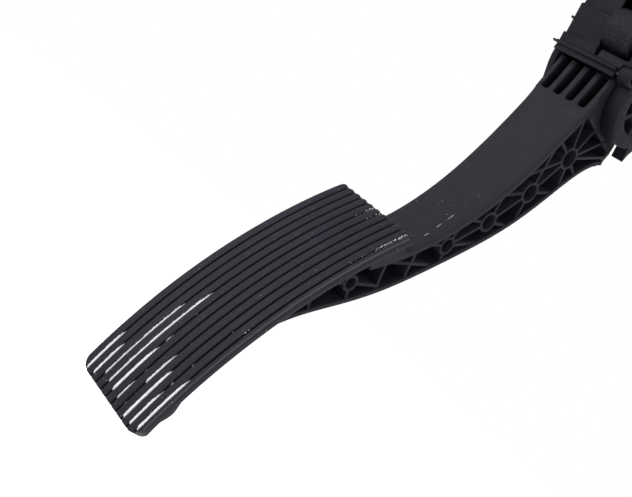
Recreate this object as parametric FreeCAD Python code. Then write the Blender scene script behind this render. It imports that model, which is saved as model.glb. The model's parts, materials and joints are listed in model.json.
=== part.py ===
import FreeCAD, Part

import math
import os

# Frame: millimetres. X to the driver's right, Y forward into the bulkhead, Z up.
# The origin is midway between the two upper bolts, on the bulkhead plane.
# Outlines seen from the side are lists of (y, z), and turn about the pivot.

# Pivot and travel
PIVOT_Y = -28.0
PIVOT_Z = -34.0
SHAFT_R = 5.0
RUNNING_GAP = 0.05
REST_GAP = 0.3

# Arm hub: parallel plates round a drum
HUB_LEFT = -17.5
HUB_RIGHT = 18.0
HUB_DRUM_R = 12.0
SLOT_COUNT = 4
SLOT_PITCH = 8.4
SLOT_WIDTH = 5.2
SLOT_FOOT_Z = -57.5
SLOT_CORNER_R = 1.6
HUB_FLOOR_Z = -59.0
HUB_REAR_WALL = 2.6
HUB_FRONT_Y = -54.5
HUB_TOP_Z = -37.0

# Arm: two curved flanges, a middle web, ribs and hollow bosses
ARM_RIGHT = 18.6
ARM_ROOT_LEFT = -17.5
ARM_TIP_LEFT = -9.5
FRONT_FLANGE = 4.3
REAR_FLANGE = 2.3
FLANGE_LIP = 0.5
WEB = 2.0
WEB_X = 4.0
RIB = 1.6
BOSS_WALL = 1.4
HEEL_TOP_Y = -10.6
HEEL_TOP_Z = -53.3
HEEL_LOW_Y = -9.0
HEEL_LOW_Z = -66.0
FRONT_JOIN_LENGTH = 23.6
REAR_JOIN_LENGTH = 84.5

# Horn above the drum, which the springs push
HORN_FRONT_Y = -19.0
HORN_REAR_Y = -14.4
HORN_TOP_Z = 1.0
HORN_HALF = 10.0

# Foot pad: a channel bent round one long arc, clipped over the arm's plate
PAD_LEFT = -35.3
PAD_RIGHT = 20.5
PAD_ARC_R = 281.6
PAD_OVER_Y = -3.55
PAD_OVER_Z = 7.43
PAD_START = 141.1
PAD_LENGTH = 158.3
PAD_SIDE = 4.4
PAD_WALL = 1.6
PAD_SKIN = 2.1
PAD_FIT = 0.15
PAD_SEAT = 0.1
PLATE_BITE = 0.8
PAD_CORNER_R = 8.0
CHAMFER_WIDE = 1.2
CHAMFER_HIGH = 1.7
RIDGE_COUNT = 11
RIDGE_PITCH = 5.27
RIDGE_CROWN = 1.5
RIDGE_SHOULDER = 0.6
GROOVE_WIDTH = 1.0
GROOVE_DEPTH = 1.0
STUD_LENGTH = 8.6
STUD_WIDTH = 4.0
STUD_HEAD = 1.3

# Housing: back plate, two cheeks and a roof
BACK_FRONT_Y = -12.0
BACK_REAR_Y = -7.0
BACK_HALF = 26.0
BACK_BOTTOM_Z = -58.0
FOOT_BEVEL = 8.0
ROOF_TOP_Z = 16.0
ROOF = 2.2
CHEEK = 3.5
CHEEK_GAP = 1.7
DISC_GAP = 0.5
BUSH_WALL = 2.0
BUSH_FLANGE = 2.0
BUSH_END = 1.5
DISC_R = 22.8
DISC_THICK = 7.5
DISC_POCKET_R = 15.0
DISC_POCKET = 4.5
DISC_CORE_R = 9.2
DISC_SPOKES = 6
DISC_SPOKE = 2.2
NOTCH_HALF = 19.0
NOTCH_TOP_Z = -42.0
SIDE_BOSS_Y = -55.0
SIDE_BOSS_Z = -31.9
SIDE_BOSS_R = 5.0
SIDE_BOSS_LEFT = 20.1

# Fixing to the bulkhead
UPPER_BOLT_SPACING = 64.0
LOWER_BOLT_X = -38.0
LOWER_BOLT_Z = -59.0
BOLT_HOLE_R = 3.3
SLEEVE_WALL = 1.3
BOLT_BOSS_R = 8.0
BOLT_EAR_R = 9.5

# Front cover: leaning panels that step back, a lip, a window
COVER = 2.0
COVER_LEFT = -21.8
COVER_RIGHT = 24.0
COVER_STEPS = [(-58.8, -33.0), (-61.0, -27.5), (-58.9, -26.5), (-65.0, -11.2),
               (-63.0, -9.6), (-66.6, 1.0), (-64.8, 2.6), (-67.2, 7.0), (-67.2, ROOF_TOP_Z)]
WINDOW_FOOT_LEFT = 1.9
WINDOW_LEFT = -1.0
WINDOW_RIGHT = 20.4
WINDOW_BOTTOM_Z = -31.4
WINDOW_SLANT_Z = -22.0
WINDOW_TOP_Z = 5.0
TAB_LEFT = 4.4
TAB_TOP_Z = -27.6
LIP_Z = -33.35
LIP_R = 1.0
LIP_BAND = 3.6
LIP_RIGHT = 18.0
LIP_FIT = 0.4
TAB = 1.6
FIN = 2.8
FIN_THICK = 0.9
FIN_DEPTH = 1.8
SMALL_FIN = 1.4
SMALL_FIN_Z = -19.4

# Return springs and the friction lever that holds their front ends
SPRING_X = 0.4
SPRING_Z = -9.0
SEAT_R = 8.9
SEAT_THICK = 1.5
SEAT_RIM = 1.2
LEVER_Y = -56.0
LEVER_Z = -12.5
LEVER_LEFT = -15.0
LEVER_HUB_R = 5.4
LEVER_PIN_R = 3.0
LEVER_SEAT_Y = -35.5
SEAT_ROOT = 4.0
PIN_BITE = 2.6
BARREL_R = 11.2
BARREL_LEFT = -0.3
BARREL_RIGHT = 17.0
SPIGOT_R = 3.0
SPIGOT = 3.0
SHOE_OUT_R = 15.2
SHOE_HALF = 7.5
SHOE_FROM = 110.0
SHOE_TO = 148.0
OUTER_COIL_R = 7.0
OUTER_WIRE_R = 0.8
OUTER_TURNS = 3.5
INNER_COIL_R = 4.8
INNER_WIRE_R = 0.8
INNER_TURNS = 3.0

# Stops
BUMPER_HALF = 7.0
BUMPER_GAP = 0.2
BUMPER_STEM_R = 2.2
IDLE_BOTTOM_Z = -14.0
IDLE_TOP_Z = -4.0
STOP_REACH = 3.3
STOP_SLOPE = 2.0
STOP_FRONT_Y = -11.0
STOP_REAR_Y = -7.4

# Sensor chamber on the left cheek
CHAMBER_FRONT_Y = -38.5
CHAMBER_REAR_Y = -13.0
CHAMBER_BOTTOM_Z = -47.0
CHAMBER_TOP_Z = 0.0
CHAMBER_SLANT_Y = 8.5
CHAMBER_SLANT_Z = 11.0
CHAMBER_WALL = 2.0
CHAMBER_DEPTH = 8.5
CARRIER_R = 6.5
CARRIER = 4.0
MAGNET_R = 4.0
MAGNET = 1.6
AIR_GAP = 0.8
CHIP = 1.0
CHIP_HALF = 2.6
BOARD = 1.5
BOARD_GAP = 0.5
BOARD_REST_R = 1.5
BOARD_REST_SIDE = 6.5
BOARD_REST_TOP = 12.0
SEAL = 0.5
SEAL_WIDTH = 1.2
SENSOR_COVER = 1.5
SCREW_R = 1.2
SCREW_HEAD_R = 2.3
SCREW_HEAD = 1.3
SCREW_BOSS_R = 2.6
SCREW_INSET = 3.2
SCREW_LENGTH = 8.0
SCREW_HOLE_GAP = 0.3
DRIVE_HALF = 1.5
DRIVE_WIDTH = 0.5
DRIVE_DEPTH = 0.6
FRONT_SCREW_X = 14.0
FRONT_SCREW_Z = 11.4
FRONT_SCREW_R = 1.5
FRONT_SCREW_HEAD_R = 3.2
FRONT_SCREW_HEAD = 2.0
FRONT_SCREW_LENGTH = 12.0
FRONT_DRIVE_HALF = 2.2
FRONT_DRIVE_WIDTH = 0.7
FRONT_DRIVE_DEPTH = 1.0
FRONT_BOSS_R = 3.4

# Socket on top of the sensor cover
SOCKET_WIDTH = 23.0
SOCKET_DEPTH = 10.0
SOCKET_HEIGHT = 21.0
SOCKET_WALL = 1.6
PIN_COUNT = 6
PIN_PITCH = 2.5
PIN_WIDE = 0.8
PIN_TOP_Z = 12.0
PIN_FOOT_Z = -9.0
LATCH_HALF = 4.0
LATCH_HIGH = 3.0
LATCH_OUT = 1.4

# Places that follow from the sizes above
HUB_MID = (HUB_LEFT + HUB_RIGHT) / 2
RIGHT_INNER = HUB_RIGHT + CHEEK_GAP
LEFT_INNER = HUB_LEFT - CHEEK_GAP
LEFT_OUTER = LEFT_INNER - CHEEK
DISC_INNER = HUB_RIGHT + DISC_GAP
BUSH_R = SHAFT_R + BUSH_WALL
DISC_FACE = RIGHT_INNER + DISC_THICK
RIM_X = LEFT_OUTER - CHAMBER_DEPTH
CARRIER_RIGHT = LEFT_OUTER - REST_GAP
CARRIER_LEFT = CARRIER_RIGHT - CARRIER
CHIP_RIGHT = CARRIER_LEFT - AIR_GAP
BOARD_RIGHT = CHIP_RIGHT - CHIP
BOARD_LEFT = BOARD_RIGHT - BOARD
COVER_INNER_X = RIM_X - SEAL
COVER_OUTER_X = COVER_INNER_X - SENSOR_COVER
SEAT_FRONT_Y = HORN_FRONT_Y - SEAT_THICK
PLATE_BITE_R = PAD_ARC_R - PAD_SIDE + PLATE_BITE
CHAMBER_MID_Y = (CHAMBER_FRONT_Y + CHAMBER_REAR_Y) / 2
SOCKET_FRONT_Y = CHAMBER_MID_Y - SOCKET_WIDTH / 2
SOCKET_REAR_Y = CHAMBER_MID_Y + SOCKET_WIDTH / 2
BOLT_X = UPPER_BOLT_SPACING / 2
SLEEVE_R = BOLT_HOLE_R + SLEEVE_WALL
BOLTS = [(-BOLT_X, 0.0), (BOLT_X, 0.0), (LOWER_BOLT_X, LOWER_BOLT_Z)]

FRONT_CURVE = [(HUB_FRONT_Y, -50.0), (-55.9, -62.5), (-58.3, -79.0), (-60.8, -97.0), (-66.4, -119.0),
               (-77.6, -144.5), (-89.4, -163.0), (-98.8, -174.2)]
REAR_CURVE = [(HEEL_LOW_Y, HEEL_LOW_Z), (-16.3, -71.9), (-23.8, -84.8), (-30.6, -103.0), (-40.9, -126.8),
              (-55.8, -150.0), (-74.8, -175.0), (-93.8, -196.8), (-113.0, -213.8), (-128.0, -226.0)]
PAD_ARC_Y = FRONT_CURVE[-1][0] + PAD_OVER_Y - PAD_ARC_R * math.cos(math.radians(PAD_START))
PAD_ARC_Z = FRONT_CURVE[-1][1] + PAD_OVER_Z - PAD_ARC_R * math.sin(math.radians(PAD_START))
PAD_SWEEP = math.degrees(PAD_LENGTH / PAD_ARC_R)
FRONT_JOIN = math.degrees(FRONT_JOIN_LENGTH / PAD_ARC_R)
REAR_JOIN = math.degrees(REAR_JOIN_LENGTH / PAD_ARC_R)
BOSSES = [(-38.0, -79.2, 5.0), (-45.7, -107.1, 4.7), (-58.0, -133.7, 4.4), (-73.0, -157.3, 3.8),
          (-114.8, -201.5, 3.1)]
BIG, SECOND, THIRD, FOURTH, FOOT = [(y, z) for y, z, _ in BOSSES]
RIBS = [(BIG, (-52.0, -60.0)), (BIG, (-36.0, -57.0)), (BIG, (-19.5, -55.0)), (BIG, (-9.0, -60.8)),
        (BIG, (-21.5, -82.4)), (BIG, (-27.6, -94.0)), (BIG, (-56.5, -77.5)), (BIG, (-59.5, -104.0)),
        (BIG, SECOND), ((-54.5, -82.0), SECOND), (SECOND, (-64.0, -119.0)), (SECOND, (-28.5, -97.0)),
        (SECOND, THIRD), (SECOND, (-40.0, -124.0)), ((-63.0, -117.5), THIRD), (THIRD, (-41.5, -127.6)),
        (THIRD, (-75.5, -141.7)), (THIRD, FOURTH), ((-75.5, -142.0), FOURTH), (FOURTH, (-53.5, -145.0)),
        (FOURTH, (-90.5, -165.0)), (FOURTH, (-68.5, -168.5)), ((-92.0, -165.5), (-83.0, -186.5)),
        ((-70.0, -168.6), (-111.8, -186.5)), ((-104.0, -182.0), (-95.0, -199.5)), (FOOT, (-96.5, -194.5)),
        (FOOT, (-124.0, -205.5)), (FOOT, (-108.5, -211.5)), ((-130.5, -218.0), (-125.0, -226.0))]
# Friction lever's nose beside the drum, from the pivot
NOSE = [(-24.0, 20.0), (-22.5, 9.0), (-14.4, 5.4), (-3.0, 16.5), (-12.0, 20.0)]
# Board's small chips, from the pivot
CHIP_PLACES = [(-7.0, 14.5), (-2.5, 14.5), (3.0, 14.5), (9.5, 3.0), (9.5, -3.0)]


def vec(x, y, z):
    return FreeCAD.Vector(x, y, z)


def polygon(corners):
    return Part.Face(Part.makePolygon(corners + corners[:1]))


def side_prism(points, x0, x1):
    """Outline of (y, z) points, drawn from x0 to x1."""
    return polygon([vec(x0, y, z) for y, z in points]).extrude(vec(x1 - x0, 0, 0))


def front_prism(points, y0, y1):
    """Outline of (x, z) points, drawn from y0 to y1."""
    return polygon([vec(x, y0, z) for x, z in points]).extrude(vec(0, y1 - y0, 0))


def box(x0, x1, y0, y1, z0, z1):
    return Part.makeBox(x1 - x0, y1 - y0, z1 - z0, vec(x0, y0, z0))


def round_x(y, z, r, x0, x1):
    return Part.makeCylinder(r, x1 - x0, vec(x0, y, z), vec(1, 0, 0))


def round_y(x, z, r, y0, y1):
    return Part.makeCylinder(r, y1 - y0, vec(x, y0, z), vec(0, 1, 0))


def tube_x(y, z, r_out, r_in, x0, x1):
    return round_x(y, z, r_out, x0, x1).cut(round_x(y, z, r_in, x0, x1))


def bar(start, end, width, x0, x1):
    """Straight rib between two (y, z) points."""
    dy = end[0] - start[0]
    dz = end[1] - start[1]
    side = width / 2 / math.hypot(dy, dz)
    ny = -dz * side
    nz = dy * side
    corners = [(start[0] + ny, start[1] + nz), (end[0] + ny, end[1] + nz),
               (end[0] - ny, end[1] - nz), (start[0] - ny, start[1] - nz)]
    return side_prism(corners, x0, x1)


def right_of(start, end):
    """Unit step to the right of a line between two (y, z) points."""
    dy = end[0] - start[0]
    dz = end[1] - start[1]
    length = math.hypot(dy, dz)
    return dz / length, -dy / length


def inset(points, distance):
    """Convex clockwise outline of (y, z) points, with every side moved inward."""
    moved = []
    for k, point in enumerate(points):
        ny, nz = right_of(points[k - 1], point)
        my, mz = right_of(point, points[(k + 1) % len(points)])
        step = distance / (1 + ny * my + nz * mz)
        moved.append((point[0] + step * (ny + my), point[1] + step * (nz + mz)))
    return moved


def joined(shapes):
    return shapes[0].fuse(shapes[1:]).removeSplitter()


def curve(points, x):
    line = Part.BSplineCurve()
    line.interpolate([vec(x, y, z) for y, z in points])
    return line


def shifted(points, distance):
    """The same smooth line, moved sideways, to its left as it runs."""
    line = curve(points, 0)
    moved = []
    for y, z in points:
        slope = line.tangent(line.parameter(vec(0, y, z)))[0]
        moved.append((y - slope.z * distance, z + slope.y * distance))
    return moved


def band(points, thickness, x0, x1):
    """Curved flange: one side on the points, the other to the left of their run."""
    near = curve(points, x0).toShape()
    inner = shifted(points, thickness)
    far = curve(inner, x0).toShape()
    caps = [Part.makeLine(vec(x0, *points[-1]), vec(x0, *inner[-1])),
            Part.makeLine(vec(x0, *inner[0]), vec(x0, *points[0]))]
    return Part.Face(Part.Wire([near, caps[0], far, caps[1]])).extrude(vec(x1 - x0, 0, 0))


def pad_point(radius, degrees):
    """Point on an arc round the pad's centre, degrees on from the pad's upper end."""
    angle = math.radians(PAD_START + degrees)
    return (PAD_ARC_Y + radius * math.cos(angle), PAD_ARC_Z + radius * math.sin(angle))


def pad_degrees(length):
    return math.degrees(length / PAD_ARC_R)


def pad_sweep(section, start, sweep):
    """Section of (x, radius) points, swept along the pad's arc."""
    corners = [vec(x, *pad_point(radius, start)) for x, radius in section]
    return pad_turn(polygon(corners), sweep)


def pad_turn(face, sweep):
    return face.revolve(vec(0, PAD_ARC_Y, PAD_ARC_Z), vec(1, 0, 0), sweep)


def pad_corner(x, inward, radius, degrees):
    """Cutter that rounds one lower corner of the pad in plan."""
    angle = math.radians(PAD_START + degrees)
    out = vec(0, math.cos(angle), math.sin(angle))
    down = vec(0, -math.sin(angle), math.cos(angle))
    across = vec(inward, 0, 0)
    reach = 2.0
    corner = vec(x, *pad_point(PAD_ARC_R - 3 * PAD_SIDE, degrees))
    centre = corner - down * radius + across * radius
    points = [corner + (down - across) * reach, centre + down * (radius + reach), centre + down * radius]
    middle = centre + (down - across) * (radius / math.sqrt(2))
    arc = Part.Arc(points[2], middle, centre - across * radius).toShape()
    side = centre - across * (radius + reach)
    lines = [Part.makeLine(points[0], points[1]), Part.makeLine(points[1], points[2]), arc,
             Part.makeLine(centre - across * radius, side), Part.makeLine(side, points[0])]
    return Part.Face(Part.Wire(lines)).extrude(out * (6 * PAD_SIDE))


def pad_slab(side, low, high):
    """Plate under the ridges, between two radii, with its lower corners rounded."""
    skip = pad_degrees(side)
    left = PAD_LEFT + side
    right = PAD_RIGHT - side
    section = [(left, low), (right, low), (right, high), (left, high)]
    slab = pad_sweep(section, skip, PAD_SWEEP - 2 * skip)
    end = PAD_SWEEP - skip
    radius = PAD_CORNER_R - side
    return slab.cut([pad_corner(left, 1, radius, end), pad_corner(right, -1, radius, end)])


def ridged_section():
    """Closed face of the pad's full section, with arched ridges and square grooves."""
    floor = PAD_ARC_R + RIDGE_SHOULDER - GROOVE_DEPTH

    def at(x, radius):
        return vec(x, *pad_point(radius, 0))

    edges = []
    last = at(PAD_LEFT, PAD_ARC_R - PAD_SIDE)
    for k in range(RIDGE_COUNT):
        low = PAD_LEFT + k * RIDGE_PITCH + (GROOVE_WIDTH / 2 if k else 0)
        high = PAD_LEFT + (k + 1) * RIDGE_PITCH - GROOVE_WIDTH / 2 if k < RIDGE_COUNT - 1 else PAD_RIGHT
        shoulders = [at(low, PAD_ARC_R + (RIDGE_SHOULDER if k else 0)),
                     at(high, PAD_ARC_R + (RIDGE_SHOULDER if k < RIDGE_COUNT - 1 else 0))]
        edges.append(Part.makeLine(last, shoulders[0]))
        crown = at((low + high) / 2, PAD_ARC_R + RIDGE_CROWN)
        edges.append(Part.Arc(shoulders[0], crown, shoulders[1]).toShape())
        last = shoulders[1]
        if k < RIDGE_COUNT - 1:
            edges.append(Part.makeLine(last, at(high, floor)))
            edges.append(Part.makeLine(at(high, floor), at(high + GROOVE_WIDTH, floor)))
            last = at(high + GROOVE_WIDTH, floor)
    edges.append(Part.makeLine(last, at(PAD_RIGHT, PAD_ARC_R - PAD_SIDE)))
    edges.append(Part.makeLine(at(PAD_RIGHT, PAD_ARC_R - PAD_SIDE), at(PAD_LEFT, PAD_ARC_R - PAD_SIDE)))
    return Part.Face(Part.Wire(edges))


def stud_places():
    """(x, degrees) of the moulded studs that hold the pad on the arm."""
    low = PAD_SWEEP - pad_degrees(25.0)
    return [(PAD_RIGHT - 8.0, low), (PAD_LEFT + 12.0, low), (PAD_LEFT + 10.0, pad_degrees(18.0)),
            (PAD_LEFT + 10.0, PAD_SWEEP / 2)]


def stud_block(place, grow, low, high):
    x, start = place
    half = STUD_WIDTH / 2 + grow
    section = [(x - half, low), (x + half, low), (x + half, high), (x - half, high)]
    skip = pad_degrees(grow)
    return pad_sweep(section, start - skip, pad_degrees(STUD_LENGTH) + 2 * skip)


def wall_chamfer():
    """Cutter along the right wall's lower outer edge."""
    low = PAD_ARC_R - PAD_SIDE
    high = low + CHAMFER_HIGH
    inner = PAD_RIGHT - CHAMFER_WIDE
    outer = PAD_RIGHT + 1
    section = [(PAD_RIGHT, high), (inner, low), (inner, low - 1), (outer, low - 1), (outer, high)]
    return pad_sweep(section, 0, PAD_SWEEP)


def pedal_pad():
    body = pad_turn(ridged_section(), PAD_SWEEP)
    sides = [(PAD_LEFT, 1), (PAD_RIGHT, -1)]
    body = body.cut([pad_corner(x, inward, PAD_CORNER_R, PAD_SWEEP) for x, inward in sides])
    room = pad_slab(PAD_WALL, PAD_ARC_R - PAD_SIDE - 1, PAD_ARC_R - PAD_SKIN)
    body = body.cut([room, wall_chamfer()])
    under = PAD_ARC_R - PAD_SIDE
    studs = []
    for place in stud_places():
        studs.append(stud_block(place, 0, under - STUD_HEAD / 2, PAD_ARC_R - PAD_SKIN))
        studs.append(stud_block(place, 1.0, under - STUD_HEAD, under))
    return joined([body] + studs)


def arm_pad_plate():
    side = PAD_WALL + PAD_FIT
    plate = pad_slab(side, PAD_ARC_R - PAD_SIDE, PAD_ARC_R - PAD_SKIN - PAD_SEAT)
    holes = [stud_block(p, PAD_FIT, PAD_ARC_R - 2 * PAD_SIDE, PAD_ARC_R) for p in stud_places()]
    return plate, holes


def pad_seat():
    """Wedge that fills the corner between the front flange and the pad's upper end."""
    sunk = shifted(FRONT_CURVE, FRONT_FLANGE / 2)[-1]
    corners = [sunk, pad_point(PLATE_BITE_R, FRONT_JOIN), pad_point(PLATE_BITE_R, 0)]
    return side_prism(corners, ARM_ROOT_LEFT, ARM_RIGHT)


def pad_skin_room():
    """Cutter that keeps the flanges' ends below the top of the pad's plate."""
    low = PAD_ARC_R - PAD_SKIN - PAD_SEAT
    high = PAD_ARC_R + PAD_SIDE
    section = [(PAD_LEFT, low), (PAD_RIGHT, low), (PAD_RIGHT, high), (PAD_LEFT, high)]
    return pad_sweep(section, 0, PAD_SWEEP)


def pad_wall_room():
    """Cutters for the pad's right wall and upper end, where the arm passes under them."""
    low = PAD_ARC_R - PAD_SIDE - PAD_FIT
    skip = pad_degrees(PAD_WALL + PAD_FIT)
    rooms = []
    for left, sweep in ((PAD_RIGHT - PAD_WALL - PAD_FIT, PAD_SWEEP + 2 * skip), (PAD_LEFT, 2 * skip)):
        section = [(left, low), (PAD_RIGHT + 1, low), (PAD_RIGHT + 1, PAD_ARC_R), (left, PAD_ARC_R)]
        rooms.append(pad_sweep(section, -skip, sweep))
    return rooms


def front_line():
    return FRONT_CURVE + [pad_point(PLATE_BITE_R, FRONT_JOIN)]


def rear_line():
    return REAR_CURVE + [pad_point(PLATE_BITE_R, REAR_JOIN)]


def arm_web_face(x):
    """The area between the two flanges, closed along the pad plate."""
    front = shifted(FRONT_CURVE, FRONT_FLANGE / 2)
    rear = shifted(REAR_CURVE, -REAR_FLANGE / 2)
    ends = [pad_point(PLATE_BITE_R, FRONT_JOIN), pad_point(PLATE_BITE_R, REAR_JOIN - 0.7)]
    middle = pad_point(PLATE_BITE_R, (FRONT_JOIN + REAR_JOIN) / 2)
    arc = Part.Arc(vec(x, *ends[0]), vec(x, *middle), vec(x, *ends[1])).toShape()
    heel = (HEEL_TOP_Y - REAR_FLANGE / 2, HEEL_TOP_Z - 1.0)
    edges = [curve(front, x).toShape(), Part.makeLine(vec(x, *front[-1]), vec(x, *ends[0])), arc,
             Part.makeLine(vec(x, *ends[1]), vec(x, *rear[-1])), curve(rear, x).toShape(),
             Part.makeLine(vec(x, *rear[0]), vec(x, *heel)), Part.makeLine(vec(x, *heel), vec(x, *front[0]))]
    return Part.Face(Part.Wire(edges))


def arm_width_cutter():
    """Everything left of the arm's tapering left side, in front view."""
    line = [(ARM_ROOT_LEFT, -50.0), (-17.1, -55.0), (-16.1, -62.0), (-15.1, -74.0), (-14.6, -102.0),
            (-12.8, -131.0), (ARM_TIP_LEFT, -170.0), (ARM_TIP_LEFT, -245.0)]
    far = -60.0
    y0 = -160.0
    flank = Part.BSplineCurve()
    flank.interpolate([vec(x, y0, z) for x, z in line[:-1]])
    corners = [vec(far, y0, line[0][1]), vec(line[0][0], y0, line[0][1])]
    foot = [vec(*p) for p in ((ARM_TIP_LEFT, y0, line[-2][1]), (ARM_TIP_LEFT, y0, line[-1][1]),
                              (far, y0, line[-1][1]))]
    edges = [Part.makeLine(corners[0], corners[1]), flank.toShape(), Part.makeLine(foot[0], foot[1]),
             Part.makeLine(foot[1], foot[2]), Part.makeLine(foot[2], corners[0])]
    return Part.Face(Part.Wire(edges)).extrude(vec(0, 170, 0))


def hub_slots():
    """Cutters for the deep slots between the hub's parallel plates."""
    front = HUB_FRONT_Y - 8
    rear = HORN_REAR_Y - HUB_REAR_WALL
    cutters = []
    for k in range(SLOT_COUNT):
        x = HUB_MID + (k - (SLOT_COUNT - 1) / 2) * SLOT_PITCH
        slot = box(x - SLOT_WIDTH / 2, x + SLOT_WIDTH / 2, front, rear, SLOT_FOOT_Z, PIVOT_Z + 8)
        feet = [e for e in slot.Edges if abs(e.Vertexes[0].Z - SLOT_FOOT_Z) < 0.01
                and abs(e.Vertexes[1].Z - SLOT_FOOT_Z) < 0.01
                and abs(e.Vertexes[0].X - e.Vertexes[1].X) < 0.01]
        cutters.append(slot.makeFillet(SLOT_CORNER_R, feet))
    drum = round_x(PIVOT_Y, PIVOT_Z, HUB_DRUM_R, HUB_LEFT - 1, HUB_RIGHT + 1)
    return [c.cut(drum) for c in cutters]


def arm_hub():
    drum_left = PIVOT_Y - HUB_DRUM_R
    outline = [(HUB_FRONT_Y, HUB_TOP_Z), (HUB_FRONT_Y, HUB_FLOOR_Z), (HEEL_LOW_Y, HUB_FLOOR_Z),
               (HEEL_TOP_Y, HEEL_TOP_Z), (PIVOT_Y + 12.0, PIVOT_Z - 14.0), (HORN_REAR_Y - 0.6, PIVOT_Z - 9.0),
               (HORN_REAR_Y, PIVOT_Z), (drum_left + 0.5, PIVOT_Z)]
    block = side_prism(outline, HUB_LEFT, HUB_RIGHT)
    drum = round_x(PIVOT_Y, PIVOT_Z, HUB_DRUM_R, HUB_LEFT, HUB_RIGHT)
    neck = PIVOT_Z + HUB_DRUM_R - 0.8
    horn = [(PIVOT_Y + 1.5, neck), (HORN_FRONT_Y, neck + 4.0), (HORN_FRONT_Y, HORN_TOP_Z),
            (HORN_REAR_Y, HORN_TOP_Z), (HORN_REAR_Y, PIVOT_Z), (PIVOT_Y + 1.5, PIVOT_Z)]
    tongue = side_prism(horn, HUB_MID - HORN_HALF, HUB_MID + HORN_HALF)
    return joined([block.cut(hub_slots()), drum, tongue])


def pedal_arm():
    front = band(front_line(), FRONT_FLANGE, ARM_ROOT_LEFT, ARM_RIGHT)
    rear = band([(y, z) for y, z in reversed(rear_line())], REAR_FLANGE, ARM_ROOT_LEFT, ARM_RIGHT)
    inner_y = HEEL_LOW_Y - REAR_FLANGE
    top = HUB_FLOOR_Z + 1
    outline = [(HEEL_LOW_Y, HEEL_LOW_Z), (HEEL_LOW_Y, top), (inner_y, top), (inner_y - 1.6, HEEL_LOW_Z - 3.6),
               (HEEL_LOW_Y - 1.9, HEEL_LOW_Z - 1.5)]
    heel = side_prism(outline, ARM_ROOT_LEFT, HUB_RIGHT)
    inner = arm_web_face(ARM_ROOT_LEFT).extrude(vec(ARM_RIGHT - ARM_ROOT_LEFT - FLANGE_LIP, 0, 0))
    web = arm_web_face(WEB_X - WEB / 2).extrude(vec(WEB, 0, 0))
    right = ARM_RIGHT - FLANGE_LIP
    ribs = [bar(a, b, RIB, ARM_ROOT_LEFT, right) for a, b in RIBS]
    posts = [round_x(y, z, r + BOSS_WALL, ARM_ROOT_LEFT, right) for y, z, r in BOSSES]
    lattice = joined(ribs + posts).common(inner)
    body = joined([front, rear, heel, web, lattice, pad_seat()])
    bores = []
    for y, z, r in BOSSES:
        bores.append(round_x(y, z, r, WEB_X + WEB / 2, ARM_RIGHT + 1))
        bores.append(round_x(y, z, r, ARM_ROOT_LEFT - 1, WEB_X - WEB / 2))
    body = body.cut(bores + hub_slots() + [arm_width_cutter(), pad_skin_room()])
    plate, holes = arm_pad_plate()
    body = joined([body, arm_hub(), plate]).cut(holes)
    shaft = round_x(PIVOT_Y, PIVOT_Z, SHAFT_R, HUB_LEFT - 5, HUB_RIGHT + 5)
    return body.cut(pad_wall_room() + [shaft]).removeSplitter()


def cover_inside():
    return [(y + COVER, z) for y, z in COVER_STEPS]


def panel_y(z):
    """Front face of the cover's main panel at one height."""
    (y0, z0), (y1, z1) = COVER_STEPS[2:4]
    return y0 + (y1 - y0) * (z - z0) / (z1 - z0)


def cover_window():
    ahead = min(y for y, z in COVER_STEPS) - 1
    behind = max(y for y, z in COVER_STEPS) + COVER + 1
    outline = [(WINDOW_FOOT_LEFT, WINDOW_BOTTOM_Z), (WINDOW_RIGHT, WINDOW_BOTTOM_Z),
               (WINDOW_RIGHT, WINDOW_TOP_Z), (WINDOW_LEFT, WINDOW_TOP_Z), (WINDOW_LEFT, WINDOW_SLANT_Z)]
    return front_prism(outline, ahead, behind)


def cover_lip():
    """Rounded ridge along the cover's foot, a flush band beneath it and a short fin at its left end."""
    y = COVER_STEPS[0][0]
    rear = y + COVER - LIP_FIT
    ridge = round_x(y - LIP_R - 0.2, LIP_Z, LIP_R, COVER_LEFT, LIP_RIGHT)
    shelf = box(COVER_LEFT, LIP_RIGHT, y - LIP_R, rear, LIP_Z - LIP_R / 2, LIP_Z + LIP_R - LIP_FIT)
    lip = box(COVER_LEFT, LIP_RIGHT, y, rear, LIP_Z - LIP_BAND, LIP_Z)
    low = LIP_Z - FIN_THICK / 2
    fin = box(COVER_LEFT - FIN, COVER_LEFT + 2, y - FIN_DEPTH + 0.4, y + 0.4, low, low + FIN_THICK)
    return [ridge, shelf, lip, fin]


def front_cover():
    panel = side_prism(COVER_STEPS + cover_inside()[::-1], COVER_LEFT, COVER_RIGHT)
    y = COVER_STEPS[0][0]
    tab = box(TAB_LEFT, WINDOW_RIGHT + 1, y - TAB - REST_GAP, y - REST_GAP, WINDOW_BOTTOM_Z - 1, TAB_TOP_Z)
    face = panel_y(SMALL_FIN_Z)
    small = box(COVER_LEFT - SMALL_FIN, COVER_LEFT + 1, face - FIN_DEPTH / 2, face + FIN_DEPTH / 2,
                SMALL_FIN_Z, SMALL_FIN_Z + FIN_THICK)
    shell = joined([panel.cut(cover_window()), tab, small] + cover_lip())
    y_top = COVER_STEPS[-1][0]
    r = FRONT_SCREW_R + SCREW_HOLE_GAP
    holes = [round_y(s * FRONT_SCREW_X, FRONT_SCREW_Z, r, y_top - 1, y_top + COVER + 1) for s in (-1, 1)]
    room = SIDE_BOSS_R + REST_GAP
    left = SIDE_BOSS_LEFT - REST_GAP
    boss_room = round_x(SIDE_BOSS_Y, SIDE_BOSS_Z, room, left, COVER_RIGHT + 1)
    ahead = min(y for y, z in COVER_STEPS) - COVER
    low = SIDE_BOSS_Z - room
    clearing = box(left, COVER_RIGHT + 1, ahead, SIDE_BOSS_Y, low, low + room * 1.4)
    return shell.cut(holes + [boss_room, clearing])


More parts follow.
